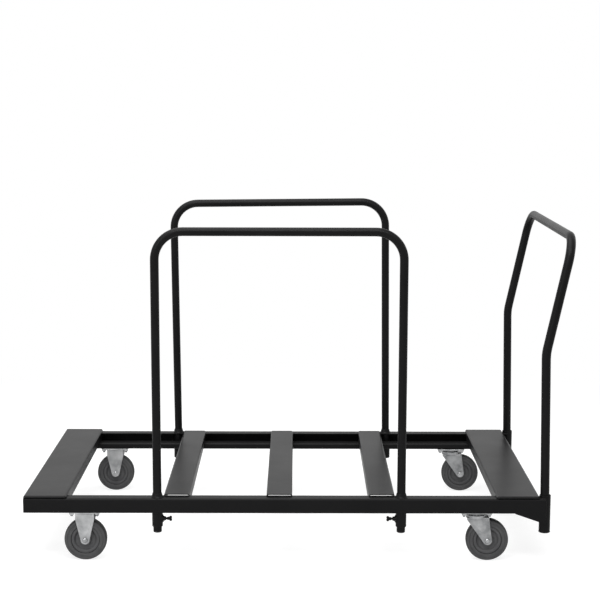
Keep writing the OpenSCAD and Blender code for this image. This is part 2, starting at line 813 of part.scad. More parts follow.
wheel_tyre(front, left);  // wheel_tyre_front_left
wheel_tyre(front, right);  // wheel_tyre_front_right
wheel_tyre(back, left);  // wheel_tyre_back_left
wheel_tyre(back, right);  // wheel_tyre_back_right
wheel_core(front, left);  // wheel_core_front_left
wheel_core(front, right);  // wheel_core_front_right
wheel_core(back, left);  // wheel_core_back_left
wheel_core(back, right);  // wheel_core_back_right
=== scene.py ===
import json
import math
import bmesh
import bpy
from mathutils import Matrix, Vector


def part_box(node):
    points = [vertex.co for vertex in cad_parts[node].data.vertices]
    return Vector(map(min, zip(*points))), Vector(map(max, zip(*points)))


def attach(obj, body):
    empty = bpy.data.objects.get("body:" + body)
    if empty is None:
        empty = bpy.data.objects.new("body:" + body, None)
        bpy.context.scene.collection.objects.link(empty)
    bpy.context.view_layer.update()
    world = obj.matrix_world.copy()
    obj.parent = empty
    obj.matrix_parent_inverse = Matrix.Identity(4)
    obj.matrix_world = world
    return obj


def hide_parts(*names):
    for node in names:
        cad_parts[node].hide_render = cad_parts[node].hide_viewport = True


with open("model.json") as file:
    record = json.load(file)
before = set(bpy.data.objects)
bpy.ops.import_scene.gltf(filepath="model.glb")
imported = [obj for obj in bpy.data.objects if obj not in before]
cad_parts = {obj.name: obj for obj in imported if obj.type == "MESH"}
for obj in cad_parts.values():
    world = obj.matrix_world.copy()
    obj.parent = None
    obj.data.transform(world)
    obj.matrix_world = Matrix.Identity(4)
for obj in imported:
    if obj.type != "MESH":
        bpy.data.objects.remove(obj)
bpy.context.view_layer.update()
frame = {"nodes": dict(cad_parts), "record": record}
nodes = frame["nodes"]
record = frame["record"]
bodyOf = {node: body for body, members in record["behaviour"]["bodies"].items() for node in members}
slotOf = {part["node"]: part["material_slot"] for part in record["subparts"]}
scene = bpy.context.scene
scene.view_settings.view_transform = "Standard"
print("frame loaded:", len(nodes), "nodes")

sides = {"front": -1, "back": 1}  # sign of Y
ends = {"left": -1, "right": 1}  # sign of X


def middle(node):
    low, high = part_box(node)
    return (low + high) / 2


def halfSize(node):
    low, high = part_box(node)
    return (high - low) / 2


# camera, found by fitting the deck's corners and the wheels

cameraSet = {
    "place": (-0.004617, -4.616184, 1.434711),  # metres
    "pitch": 0.152020,  # radians, downwards
    "yaw": -0.002437,
    "roll": -0.002383,
    "focalPixels": 1471.938,
    "framePixels": 600,
    "sensor": 36.0,
    "clipEnd": 100,
}


def makeCamera(s):
    cosY, sinY = math.cos(s["yaw"]), math.sin(s["yaw"])
    right = Vector((cosY, sinY, 0))
    level = Vector((-sinY, cosY, 0))
    up = Vector((0, 0, 1))
    ahead = math.cos(s["pitch"]) * level - math.sin(s["pitch"]) * up
    top = math.sin(s["pitch"]) * level + math.cos(s["pitch"]) * up
    cosR, sinR = math.cos(s["roll"]), math.sin(s["roll"])
    axisX = cosR * right - sinR * top
    axisY = sinR * right + cosR * top
    data = bpy.data.cameras.new("camera")
    data.sensor_width = s["sensor"]
    data.lens = s["focalPixels"] / s["framePixels"] * s["sensor"]
    data.clip_end = s["clipEnd"]
    cam = bpy.data.objects.new("camera", data)
    turn = Matrix((axisX, axisY, -ahead)).transposed().to_4x4()
    cam.matrix_world = Matrix.Translation(s["place"]) @ turn
    scene.collection.objects.link(cam)
    scene.camera = cam


makeCamera(cameraSet)
print("camera placed")


# node helpers: a value is a number, a colour or another node's output

def put(tree, kind, **settings):
    node = tree.nodes.new(kind)
    for key, value in settings.items():
        setattr(node, key, value)
    return node


def feed(tree, value, socket):
    if isinstance(value, bpy.types.NodeSocket):
        tree.links.new(value, socket)
    else:
        socket.default_value = value


def calc(tree, operation, *values):
    node = put(tree, "ShaderNodeMath", operation=operation)
    for value, socket in zip(values, node.inputs):
        feed(tree, value, socket)
    return node.outputs[0]


def mapped(tree, value, source=(0.0, 1.0), target=(0.0, 1.0), curve="LINEAR"):
    # carries one range over to another
    node = put(tree, "ShaderNodeMapRange", interpolation_type=curve)
    for label, level in zip(("From Min", "From Max", "To Min", "To Max"), (*source, *target)):
        node.inputs[label].default_value = level
    tree.links.new(value, node.inputs["Value"])
    return node.outputs["Result"]


def mixed(tree, mask, low, high):
    mix = put(tree, "ShaderNodeMix", data_type="RGBA")
    for label, value in (("A", low), ("B", high)):
        feed(tree, (*value, 1) if isinstance(value, tuple) else value, mix.inputs[label])
    tree.links.new(mask, mix.inputs["Factor"])
    return mix.outputs["Result"]


def bumped(tree, shader, height, strength, distance):
    bump = put(tree, "ShaderNodeBump")
    bump.inputs["Strength"].default_value = strength
    bump.inputs["Distance"].default_value = distance
    tree.links.new(height, bump.inputs["Height"])
    tree.links.new(bump.outputs["Normal"], shader.inputs["Normal"])


def newFinish(name):
    mat = bpy.data.materials.new(name)
    mat.use_nodes = True
    return mat, mat.node_tree, mat.node_tree.nodes["Principled BSDF"]


# floor, backdrop and lamps

white = (1, 1, 1, 1)
stageSet = {
    "floorSize": 60.0,
    "floorSeen": (0.36, 0.0),  # floor's own colour as the camera sees it, near the object and far off
    "floorGlow": (0.80, 1.0),  # brings the lit floor up to white
    "glowReach": (1.3, 2.6),  # metres from the middle of the floor
    "floorBounce": 0.70,  # floor's colour for the light that it throws back
    "floorMirrored": 0.45,  # how much of its glow the object reflects
    "worldLevel": 0.34,
}
lamps = {
    "overhead": {"place": (-0.9, -0.6, 4.2), "size": (4.5, 3.6), "power": 150, "aim": (0, 0, 0.3)},
    "strip": {"place": (0, -2.9, 3.5), "size": (3.4, 0.4), "power": 48, "aim": (0, -0.2, 0.7)},
    "frontFill": {"place": (-3.4, -4.6, 2.6), "size": (3.0, 2.4), "power": 55, "aim": (0, 0, 0.4)},
    "backFill": {
        "place": (-2.4, 4.6, 3.0), "size": (3.4, 2.2), "power": 40, "aim": (0, 0, 0.5),
        "mirrored": False,  # gives light but doesn't show in reflections
    },
}


def seenRays(tree, mirrored):
    # 1 where the camera or a see-through ray looks, and the given share of it in reflections
    path = put(tree, "ShaderNodeLightPath")
    share = calc(tree, "MULTIPLY", path.outputs["Is Glossy Ray"], mirrored)
    seen = calc(tree, "MAXIMUM", path.outputs["Is Camera Ray"], share)
    return calc(tree, "MAXIMUM", seen, path.outputs["Is Transmission Ray"])


def makeWorld(s):
    world = bpy.data.worlds.new("studio")
    scene.world = world
    world.use_nodes = True
    tree = world.node_tree
    back = tree.nodes["Background"]
    back.inputs["Color"].default_value = white
    level = mapped(tree, seenRays(tree, 1.0), target=(s["worldLevel"], 1.0))
    tree.links.new(level, back.inputs["Strength"])


def makeFloor(s):
    mat, tree, shader = newFinish("paleFloor")
    shader.inputs["Roughness"].default_value = 1.0
    shader.inputs["Specular IOR Level"].default_value = 0.0
    shader.inputs["Emission Color"].default_value = white
    seen = seenRays(tree, s["floorMirrored"])
    place = put(tree, "ShaderNodeTexCoord")
    reach = put(tree, "ShaderNodeVectorMath", operation="LENGTH")
    tree.links.new(place.outputs["Object"], reach.inputs[0])
    shade = mapped(tree, reach.outputs["Value"], s["glowReach"], s["floorSeen"], "SMOOTHSTEP")
    glow = mapped(tree, reach.outputs["Value"], s["glowReach"], s["floorGlow"], "SMOOTHSTEP")
    tree.links.new(mixed(tree, seen, (s["floorBounce"],) * 3, shade), shader.inputs["Base Color"])
    tree.links.new(calc(tree, "MULTIPLY", seen, glow), shader.inputs["Emission Strength"])

    half = s["floorSize"] / 2
    corners = [(-half, -half, 0), (half, -half, 0), (half, half, 0), (-half, half, 0)]
    mesh = bpy.data.meshes.new("floor")
    mesh.from_pydata(corners, [], [(0, 1, 2, 3)])
    mesh.materials.append(mat)
    floor = bpy.data.objects.new("floor", mesh)
    scene.collection.objects.link(floor)


def makeLamp(name, s):
    data = bpy.data.lights.new(name, "AREA")
    data.shape = "RECTANGLE"
    data.size, data.size_y = s["size"]
    data.energy = s["power"]
    lamp = bpy.data.objects.new(name, data)
    lamp.location = s["place"]
    aim = Vector(s["aim"]) - Vector(s["place"])
    lamp.rotation_euler = aim.to_track_quat("-Z", "Y").to_euler()
    lamp.visible_glossy = s.get("mirrored", True)
    scene.collection.objects.link(lamp)


makeWorld(stageSet)
makeFloor(stageSet)
for name, s in lamps.items():
    makeLamp(name, s)
print("stage and lamps placed")


# shared surface effects, as node groups

grainSet = {"takes": {"Scale": 100.0, "Detail": 2.0}, "spread": (0.32, 0.68)}
wearSet = {
    "takes": {"Radius": 0.002, "Breakup": 60.0}, "samples": 4, "detail": 4.0,
    "edge": (0.98, 0.80),  # how far the two normals agree: nothing worn, all worn
    "patches": (0.42, 0.66),
}
dustSet = {
    "takes": {"Scale": 14.0, "Amount": 0.3}, "detail": 6.0,
    "upward": (0.35, 0.95),  # how far a face looks up: no dust, full dust
    "patches": (0.36, 0.70),
}


def newGroup(name, takes, gives):
    tree = bpy.data.node_groups.new(name, "ShaderNodeTree")
    for label, value in takes.items():
        socket = tree.interface.new_socket(label, in_out="INPUT", socket_type="NodeSocketFloat")
        socket.default_value = value
    for label in gives:
        tree.interface.new_socket(label, in_out="OUTPUT", socket_type="NodeSocketFloat")
    return tree, put(tree, "NodeGroupInput").outputs, put(tree, "NodeGroupOutput").inputs


def ownNoise(tree, scale, detail):
    # noise in the piece's own space, so it moves with the piece
    place = put(tree, "ShaderNodeTexCoord")
    noise = put(tree, "ShaderNodeTexNoise")
    tree.links.new(place.outputs["Object"], noise.inputs["Vector"])
    feed(tree, scale, noise.inputs["Scale"])
    feed(tree, detail, noise.inputs["Detail"])
    return noise.outputs["Fac"]


def makeGrain(s):
    # even noise: a height for bumps and a mask for colour
    tree, took, give = newGroup("surfaceGrain", s["takes"], ("Height", "Mask"))
    noise = ownNoise(tree, took["Scale"], took["Detail"])
    tree.links.new(noise, give["Height"])
    tree.links.new(mapped(tree, noise, s["spread"]), give["Mask"])
    return tree


def makeEdgeWear(s):
    # where a rounded normal leaves the real one there is an edge, broken up by noise
    tree, took, give = newGroup("edgeWear", s["takes"], ("Mask",))
    bevel = put(tree, "ShaderNodeBevel", samples=s["samples"])
    tree.links.new(took["Radius"], bevel.inputs["Radius"])
    shape = put(tree, "ShaderNodeNewGeometry")
    dot = put(tree, "ShaderNodeVectorMath", operation="DOT_PRODUCT")
    tree.links.new(bevel.outputs["Normal"], dot.inputs[0])
    tree.links.new(shape.outputs["Normal"], dot.inputs[1])
    edge = mapped(tree, dot.outputs["Value"], s["edge"])
    patches = mapped(tree, ownNoise(tree, took["Breakup"], s["detail"]), s["patches"])
    tree.links.new(calc(tree, "MULTIPLY", edge, patches), give["Mask"])
    return tree


def makeDust(s):
    # dust that settles on faces that look up, thicker in patches
    tree, took, give = newGroup("settledDust", s["takes"], ("Mask",))
    shape = put(tree, "ShaderNodeNewGeometry")
    part = put(tree, "ShaderNodeSeparateXYZ")
    tree.links.new(shape.outputs["Normal"], part.inputs[0])
    upward = mapped(tree, part.outputs["Z"], s["upward"])
    patches = mapped(tree, ownNoise(tree, took["Scale"], s["detail"]), s["patches"])
    settled = calc(tree, "MULTIPLY", upward, patches)
    tree.links.new(calc(tree, "MULTIPLY", settled, took["Amount"]), give["Mask"])
    return tree


grainGroup = makeGrain(grainSet)
wearGroup = makeEdgeWear(wearSet)
dustGroup = makeDust(dustSet)


def effect(tree, group, values):
    node = put(tree, "ShaderNodeGroup", node_tree=group)
    for label, value in values.items():
        node.inputs[label].default_value = value
    return node.outputs


# black powder coat with a fine orange peel

blackCoatSet = {
    "deep": (0.0042, 0.0042, 0.0045), "pale": (0.0062, 0.0061, 0.0064),
    "cloud": {"Scale": 7.0, "Detail": 3.0},
    "dust": (0.12, 0.117, 0.113), "dustFall": {"Scale": 11.0, "Amount": 0.03},
    "worn": (0.045, 0.044, 0.043), "wear": {"Radius": 0.0016, "Breakup": 90.0},
    "peel": {"Scale": 420.0, "Detail": 1.0}, "bump": (0.05, 0.0006),  # strength, metres
    "rough": (0.33, 0.37), "specular": 0.114,
}
railCoatSet = dict(blackCoatSet, rough=(0.46, 0.50))  # the rails are duller than the slats and tubes


def makeBlackCoat(name, s):
    mat, tree, shader = newFinish(name)
    cloud = effect(tree, grainGroup, s["cloud"])
    peel = effect(tree, grainGroup, s["peel"])
    wear = effect(tree, wearGroup, s["wear"])
    dust = effect(tree, dustGroup, s["dustFall"])
    coat = mixed(tree, cloud["Mask"], s["deep"], s["pale"])
    coat = mixed(tree, dust["Mask"], coat, s["dust"])
    tree.links.new(mixed(tree, wear["Mask"], coat, s["worn"]), shader.inputs["Base Color"])
    tree.links.new(mapped(tree, cloud["Mask"], target=s["rough"]), shader.inputs["Roughness"])
    shader.inputs["Specular IOR Level"].default_value = s["specular"]
    bumped(tree, shader, peel["Height"], *s["bump"])
    return mat


# zinc plate with a faint spangle

zincSet = {
    "dull": (0.32, 0.325, 0.33), "bright": (0.52, 0.525, 0.53), "cloud": {"Scale": 38.0, "Detail": 5.0},
    "edge": (0.68, 0.68, 0.68), "wear": {"Radius": 0.0022, "Breakup": 140.0},
    "fine": {"Scale": 900.0, "Detail": 2.0}, "bump": (0.12, 0.0003),  # strength, metres
    "rough": (0.30, 0.46), "spangleScale": 120.0,
}
boltZincSet = dict(zincSet, dull=(0.28, 0.285, 0.29), bright=(0.47, 0.475, 0.48), rough=(0.10, 0.20))
swivelZincSet = dict(zincSet, dull=(0.215, 0.22, 0.225), bright=(0.43, 0.435, 0.44))  # greyer forks


def makeZinc(name, s):
    mat, tree, shader = newFinish(name)
    cloud = effect(tree, grainGroup, s["cloud"])
    fine = effect(tree, grainGroup, s["fine"])
    wear = effect(tree, wearGroup, s["wear"])
    place = put(tree, "ShaderNodeTexCoord")
    spangle = put(tree, "ShaderNodeTexVoronoi")
    spangle.inputs["Scale"].default_value = s["spangleScale"]
    tree.links.new(place.outputs["Object"], spangle.inputs["Vector"])
    flake = put(tree, "ShaderNodeSeparateColor")
    tree.links.new(spangle.outputs["Color"], flake.inputs[0])
    plate = mixed(tree, cloud["Mask"], s["dull"], s["bright"])
    tree.links.new(mixed(tree, wear["Mask"], plate, s["edge"]), shader.inputs["Base Color"])
    tree.links.new(mapped(tree, flake.outputs["Red"], target=s["rough"]), shader.inputs["Roughness"])
    shader.inputs["Metallic"].default_value = 1.0
    bumped(tree, shader, fine["Height"], *s["bump"])
    return mat


# moulded rubber and plastic

mouldedSet = {
    "cloud": {"Scale": 26.0, "Detail": 5.0}, "specular": 0.35,
    "dust": (0.22, 0.21, 0.20), "dustFall": {"Scale": 30.0, "Amount": 0.12},
}
rubberSet = dict(
    mouldedSet, deep=(0.062, 0.062, 0.064), pale=(0.090, 0.090, 0.091), rough=(0.55, 0.72),
    grain={"Scale": 1100.0, "Detail": 3.0}, bump=(0.2, 0.0004),
    treadShade=(0.026, 0.026, 0.027), treadShadeFrom=(0.93, 0.45),  # painted shade, darker as the surface turns away from the axle
)
hubSet = dict(
    mouldedSet, deep=(0.068, 0.068, 0.071), pale=(0.092, 0.092, 0.094), rough=(0.42, 0.58),
    grain={"Scale": 1600.0, "Detail": 3.0}, bump=(0.14, 0.0004),
)
plugSet = dict(
    mouldedSet, deep=(0.010, 0.010, 0.010), pale=(0.018, 0.018, 0.018), dust=(0.15, 0.145, 0.14),
    rough=(0.45, 0.6), grain={"Scale": 1500.0, "Detail": 3.0}, bump=(0.14, 0.0004),
)


def treadShadeMask(tree, turned):
    # 0 on the walls, which face along the axle, and 1 on the running surface, where shade is painted
    place = put(tree, "ShaderNodeTexCoord")
    part = put(tree, "ShaderNodeSeparateXYZ")
    tree.links.new(place.outputs["Normal"], part.inputs[0])
    return mapped(tree, calc(tree, "ABSOLUTE", part.outputs["Y"]), turned)


def makeMoulded(name, s):
    mat, tree, shader = newFinish(name)
    cloud = effect(tree, grainGroup, s["cloud"])
    grain = effect(tree, grainGroup, s["grain"])
    dust = effect(tree, dustGroup, s["dustFall"])
    base = mixed(tree, cloud["Mask"], s["deep"], s["pale"])
    # painted shade: the running surface and shoulders are painted darker than the walls
    if "treadShade" in s:
        base = mixed(tree, treadShadeMask(tree, s["treadShadeFrom"]), base, s["treadShade"])
    tree.links.new(mixed(tree, dust["Mask"], base, s["dust"]), shader.inputs["Base Color"])
    tree.links.new(mapped(tree, grain["Mask"], target=s["rough"]), shader.inputs["Roughness"])
    shader.inputs["Specular IOR Level"].default_value = s["specular"]
    bumped(tree, shader, grain["Height"], *s["bump"])
    return mat


finishes = {
    "black_coat": makeBlackCoat("blackCoat", blackCoatSet),
    "zinc_steel": makeZinc("zincPlate", zincSet),
    "wheel_rubber": makeMoulded("wheelRubber", rubberSet),
    "wheel_plastic": makeMoulded("wheelPlastic", hubSet),
    "plug_plastic": makeMoulded("plugPlastic", plugSet),
}
railCoat = makeBlackCoat("railCoat", railCoatSet)
boltZinc = makeZinc("boltZinc", boltZincSet)
swivelZinc = makeZinc("swivelZinc", swivelZincSet)
for name, node in nodes.items():
    node.data.materials.clear()
    node.data.materials.append(finishes[slotOf[name]])
print("finishes made:", ", ".join(finishes))


# mesh tools: every shape is a pair of points and faces

def joined(*shapes):
    points, faces = [], []
    for somePoints, someFaces in shapes:
        base = len(points)
        points += somePoints
        faces += [tuple(i + base for i in face) for face in someFaces]
    return points, faces


def skin(rings, loop=False):
    # rings of equal count, seen anticlockwise from the end they run to
    count = len(rings[0])
    points = [p for ring in rings for p in ring]
    faces = []
    for i in range(len(rings) if loop else len(rings) - 1):
        a, b = i * count, (i + 1) % len(rings) * count
        for k in range(count):
            n = (k + 1) % count
            faces.append((a + k, a + n, b + n, b + k))
    if not loop:
        faces.append(tuple(reversed(range(count))))
        faces.append(tuple(range(len(points) - count, len(points))))
    return points, faces


def axisFrame(origin, along, across=(0, 0, 1)):
    # local Z along the axis, local X across it
    z = Vector(along).normalized()
    x = Vector(across)
    x = (x - z * x.dot(z)).normalized()
    y = z.cross(x)
    return Matrix.Translation(origin) @ Matrix((x, y, z)).transposed().to_4x4()


def turnsOf(count):
    return [2 * math.pi * k / count for k in range(count)]


def circle(place, radius, height, steps):
    return [place @ Vector((radius * math.cos(t), radius * math.sin(t), height)) for t in turnsOf(steps)]


def lathe(profile, place, steps, loop=False):
    # profile of (radius, height), up the outside
    return skin([circle(place, r, h, steps) for r, h in profile], loop)


# weld beads: rippled rods along a path

beadSet = {
    "step": 0.0005,  # metres between points of a path
    "facets": 10,
    "ripple": 0.14, "pitch": 0.0021,  # share of the radius, and metres from one ripple to the next
    "wander": 0.05, "wanderRate": 420,  # slow change of the radius, as a share and in radians a metre
    "tip": 0.45, "tipGrowth": 0.2,  # an open end's share of the radius, and what each point adds
}


def bead(path, radius, loop=False, up=(0, 0, 1)):
    s = beadSet
    around = turnsOf(s["facets"])
    rings, far = [], 0.0
    last = len(path) - 1
    for i, p in enumerate(path):
        after = path[(i + 1) % len(path)] if loop or i < last else p
        before = path[i - 1] if loop or i else p
        along = (after - before).normalized()
        side = along.cross(Vector(up)).normalized()
        top = side.cross(along)
        far += (p - path[i - 1]).length if i else 0.0
        swell = 1 + s["ripple"] * abs(math.sin(math.pi * far / s["pitch"]))
        swell += s["wander"] * math.sin(far * s["wanderRate"])
        if not loop:
            swell *= min(1.0, s["tip"] + s["tipGrowth"] * min(i, last - i))
        rings.append([p + radius * swell * (side * math.cos(t) + top * math.sin(t)) for t in around])
    return skin(rings, loop)


def straight(a, b):
    a, b = Vector(a), Vector(b)
    count = max(2, int((b - a).length / beadSet["step"]))
    return [a.lerp(b, i / count) for i in range(count + 1)]


# threads and hexagons

threadSet = {"depth": 0.54, "crest": 1.25, "ringsPerTurn": 6, "facets": 24}  # depth is a share of the pitch
hexSet = {"face": 0.47, "slope": 28, "levels": 5, "facets": 48}  # share of the flats, degrees, counts


def thread(place, low, high, radius, pitch):
    # ridged rod along local Z, its ridges fading out at both ends
    s = threadSet
    depth = s["depth"] * pitch
    count = int((high - low) / pitch * s["ringsPerTurn"])
    rings = []
    for i in range(count + 1):
        h = low + (high - low) * i / count
        fade = max(0.0, min(1.0, (h - low) / pitch, (high - h) / pitch))
        ring = []
        for k, t in enumerate(turnsOf(s["facets"])):
            wave = abs(((h / pitch - k / s["facets"]) % 1.0) * 2 - 1)
            r = radius - depth * (1 - fade * min(1.0, s["crest"] * wave))
            ring.append(place @ Vector((r * math.cos(t), r * math.sin(t), h)))
        rings.append(ring)
    return skin(rings)


def hexRing(flats, height, place, trim):
    # six-sided ring, or a round one where the chamfer has cut past the flats
    sector = math.pi / 3
    ring = []
    for t in turnsOf(hexSet["facets"]):
        r = min(trim, flats / 2 / math.cos((t + sector / 2) % sector - sector / 2))
        ring.append(place @ Vector((r * math.cos(t), r * math.sin(t), height)))
    return ring


def hexHead(place, flats, low, high, both=False):
    # chamfered hexagon: the cone cuts the corners off in arcs
    corner = flats / math.sqrt(3)
    face = flats * hexSet["face"]
    drop = (corner - face) * math.tan(math.radians(hexSet["slope"]))
    steps = [i / hexSet["levels"] for i in range(hexSet["levels"] + 1)]
    rings = [hexRing(flats, low, place, corner)]
    if both:
        rings = [hexRing(flats, low + drop * f, place, face + (corner - face) * f) for f in steps]
    rings += [hexRing(flats, high - drop * f, place, face + (corner - face) * f) for f in reversed(steps)]
    return rings


def bored(rings, place, radius, low, high):
    # hexagon rings turned into a nut: down again through its bore
    bore = [circle(place, radius, h, hexSet["facets"]) for h in (high, low)]
    return skin(rings + bore, True)


# pieces: a mesh, its finish, its body and what it stands for

edgeSet = {
    "sharp": math.radians(36), "segments": 2, "flatWeight": 90,
    "seam": 2e-6, "cut": 1e-6,  # metres within which points are one
    "flat": math.radians(0.4),  # faces that differ less are merged
}


def placePiece(name, mesh, body, slot, stands, edge, finish):
    mesh.materials.append(finish or finishes[slot])
    obj = bpy.data.objects.new(name, mesh)
    scene.collection.objects.link(obj)
    if edge:
        soft = obj.modifiers.new("softEdge", "BEVEL")
        soft.width = edge
        soft.segments = edgeSet["segments"]
        soft.limit_method = "ANGLE"
        soft.angle_limit = edgeSet["sharp"]
        soft.use_clamp_overlap = False
        flat = obj.modifiers.new("flatFaces", "WEIGHTED_NORMAL")  # wide faces stay flat
        flat.mode = "FACE_AREA"
        flat.weight = edgeSet["flatWeight"]
    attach(obj, body)
    if stands:
        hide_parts(*stands)


def newPiece(name, shape, body, slot, stands=(), edge=0.0, finish=None):
    points, faces = shape
    mesh = bpy.data.meshes.new(name)
    mesh.from_pydata([tuple(p) for p in points], [], faces)
    mesh.polygons.foreach_set("use_smooth", [True] * len(mesh.polygons))
    if not edge:
        mesh.set_sharp_from_angle(angle=edgeSet["sharp"])
    placePiece(name, mesh, body, slot, stands, edge, finish)


def standIn(name, shape, node, finish=None):
    # a new shape in a CAD node's place
    newPiece(name, shape, bodyOf[node], slotOf[node], (node,), finish=finish)


def squareEnds(work, fold, runOut):
    # cuts a slat's folded ends off and runs its sheet out square
    reach = max(v.co.y for v in work.verts)
    for sign in (-1, 1):
        everything = work.verts[:] + work.edges[:] + work.faces[:]
        spot, outward = (0, sign * (reach - fold), 0), (0, sign, 0)
        cut = bmesh.ops.bisect_plane(work, geom=everything, dist=edgeSet["cut"],
                                     plane_co=spot, plane_no=outward, clear_outer=True)
        rim = [e for e in cut["geom_cut"] if isinstance(e, bmesh.types.BMEdge)]
        bmesh.ops.contextual_create(work, geom=rim)
        for v in {v for e in rim for v in e.verts}:
            v.co.y = sign * (reach + runOut)
    bmesh.ops.recalc_face_normals(work, faces=work.faces)


def softCopy(name, node, edge, endCut=None, finish=None):
    # the CAD piece with its seams closed, its flats merged and its sharp edges broken
    work = bmesh.new()
    work.from_mesh(nodes[node].data)
    bmesh.ops.remove_doubles(work, verts=work.verts, dist=edgeSet["seam"])
    bmesh.ops.dissolve_limit(work, angle_limit=edgeSet["flat"], verts=work.verts, edges=work.edges)
    if endCut:
        squareEnds(work, *endCut)
    for face in work.faces:
        face.smooth = True
    mesh = bpy.data.meshes.new(name)
    work.to_mesh(mesh)
    work.free()
    placePiece(name, mesh, bodyOf[node], slotOf[node], (node,), edge, finish)


# deck: rails, slats, sockets and bosses with broken edges

sheetSet = {"thick": 0.003, "fold": 0.006}  # the deck's sheet, and the outer radius of its folds
deckSet = {
    "railEdge": 0.0006, "slatEdge": 0.0006, "socketEdge": 0.0005, "bossEdge": 0.0004,
    "midSlatEnd": (0.0062, 0.004),  # length cut off with the fold, and how far past it the sheet ends
}
endSlats = ("end_slat_left", "end_slat_right")
midSlats = ("mid_slat_left", "mid_slat_centre", "mid_slat_right")


def makeDeck(s):
    for side in sides:
        softCopy(f"rail_{side}", f"side_rail_{side}", s["railEdge"], finish=railCoat)
        softCopy(f"handleCup_{side}", f"handle_socket_{side}", s["socketEdge"])
        for end in ends:
            softCopy(f"hoopCup_{side}_{end}", f"hoop_socket_{side}_{end}", s["socketEdge"])
    for slat in endSlats:
        softCopy(slat.replace("_slat_", "Slat_"), slat, s["slatEdge"])
    for slat in midSlats:
        softCopy(slat.replace("_slat_", "Slat_"), slat, s["slatEdge"], s["midSlatEnd"])
    softCopy("clampBosses", "clamp_bosses", s["bossEdge"])


makeDeck(deckSet)


# welded corners of the end slats: the folds of an end and of a side meet in a rounded patch

cornerSet = {
    "fold": (0.00298, 0.00596),  # inner and outer radius of a patch, just inside the sheet's own
    "overlap": 0.0006, "poleTurn": 86, "steps": 12,
}


def cornerPatch(corner, alongX, alongY, s):
    # quarter ring carried along the end's fold, round the corner and into the side's fold
    inner, outer = s["fold"]
    arc = [math.radians(s["poleTurn"]) * i / s["steps"] for i in range(s["steps"] + 1)]
    section = [(outer * math.cos(a), outer * math.sin(a)) for a in arc]
    section += [(inner * math.cos(a), inner * math.sin(a)) for a in reversed(arc)]
    stops = [(-s["overlap"], 0.0, 0.0)]
    stops += [(0.0, 0.0, math.pi / 2 * i / s["steps"]) for i in range(s["steps"] + 1)]
    stops += [(0.0, -s["overlap"], math.pi / 2)]
    rings = []
    for x, y, turn in stops:
        ring = [corner + Vector((alongX * (x + r * math.sin(turn)), alongY * (y + r * math.cos(turn)), h))
                for r, h in section]
        rings.append(ring if alongX * alongY > 0 else ring[::-1])
    return skin(rings)


def makeSlatCorners(s):
    out = sheetSet["fold"]
    patches = []
    for slat in endSlats:
        low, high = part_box(slat)
        for x, alongX in ((low.x, -1), (high.x, 1)):
            for y, alongY in ((low.y, -1), (high.y, 1)):
                corner = Vector((x - alongX * out, y - alongY * out, high.z - out))
                patches.append(cornerPatch(corner, alongX, alongY, s))
    return joined(*patches)


newPiece("slatCorners", makeSlatCorners(cornerSet), "chassis", "black_coat")
print("deck built")


# weld beads where the frame's pieces meet

weldSet = {
    "bead": 0.0016, "ringOut": 0.0014, "footOut": 0.0008, "leastPoints": 24,
    "foldUsed": 0.95,  # share of the rail's fold that a ring runs down
    "seamIn": 0.0006, "seamPast": 0.0004, "seamFoot": 0.004,  # seam of a rail's web on the handle's socket
    "slatRun": (0.073, 0.046), "slatLift": 0.0006,  # in from the rails' faces, along the slats' feet
    "socket": 0.0159, "bossBase": 0.0096, "bossBead": 0.0021, "bossPoints": 96,
}
railLow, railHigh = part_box("side_rail_front")
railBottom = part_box("swivel_plate_front")[1].z  # the casters' plates lie against it
railTop = railHigh.z
railMiddle = (railBottom + railTop) / 2
railOuter = -railLow.y


def ringPath(centre, radius, z, s, arc=None):
    # round path on the rail's top or foot; past the fold it runs down or up with the sheet
    start, stop = arc or (0.0, 2 * math.pi)
    count = max(s["leastPoints"], int(radius * (stop - start) / beadSet["step"]))
    turn = sheetSet["fold"]
    path = []
    for i in range(count + 1 if arc else count):
        t = start + (stop - start) * i / count
        p = Vector((centre.x + radius * math.cos(t), centre.y + radius * math.sin(t), z))
        past = min(turn * s["foldUsed"], max(0.0, abs(p.y) - (railOuter - turn)))
        p.z -= math.copysign(turn - math.sqrt(turn * turn - past * past), z - railMiddle)
        path.append(p)
    return path


def makeWelds(s):
    shapes = []
    for side, sign in sides.items():
        for end in ends:
            centre = middle(f"hoop_socket_{side}_{end}")
            for out, z in ((s["ringOut"], railTop), (s["footOut"], railBottom)):
                shapes.append(bead(ringPath(centre, s["socket"] + out, z, s), s["bead"], True))
        cup = f"handle_socket_{side}"
        centre, radius = middle(cup), halfSize(cup).x
        for z in (railTop, railBottom):
            half = ringPath(centre, radius + s["footOut"], z, s, (math.pi / 2, 1.5 * math.pi))
            shapes.append(bead(half, s["bead"]))
        x, y = centre.x + s["seamPast"], sign * (railOuter - sheetSet["thick"] / 2 - s["seamIn"])
        seam = straight((x, y, railLow.z + s["seamFoot"]), (x, y, railTop - sheetSet["fold"]))
        shapes.append(bead(seam, s["bead"], up=(1, 0, 0)))
        for slat in endSlats + midSlats:
            low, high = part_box(slat)
            inner, outer = (railOuter - inward for inward in s["slatRun"])
            z = low.z + s["slatLift"]
            for x in (low.x, high.x):
                run = straight((x, sign * outer, z), (x, sign * inner, z))
                shapes.append(bead(run, s["bead"]))
    return joined(*shapes)


def makeBossWelds(s):
    shapes = []
    for side in sides:
        for end, sign in ends.items():
            screw = middle(f"clamp_screw_{side}_{end}")
            centre = middle(f"hoop_socket_{side}_{end}")
            path = []
            for t in turnsOf(s["bossPoints"]):
                y, z = s["bossBase"] * math.cos(t), s["bossBase"] * math.sin(t)
                reach = math.sqrt(s["socket"] ** 2 - y ** 2)
                path.append(Vector((centre.x - sign * reach, centre.y + y, screw.z + z)))
            shapes.append(bead(path, s["bossBead"], True, up=(1, 0, 0)))
    return joined(*shapes)


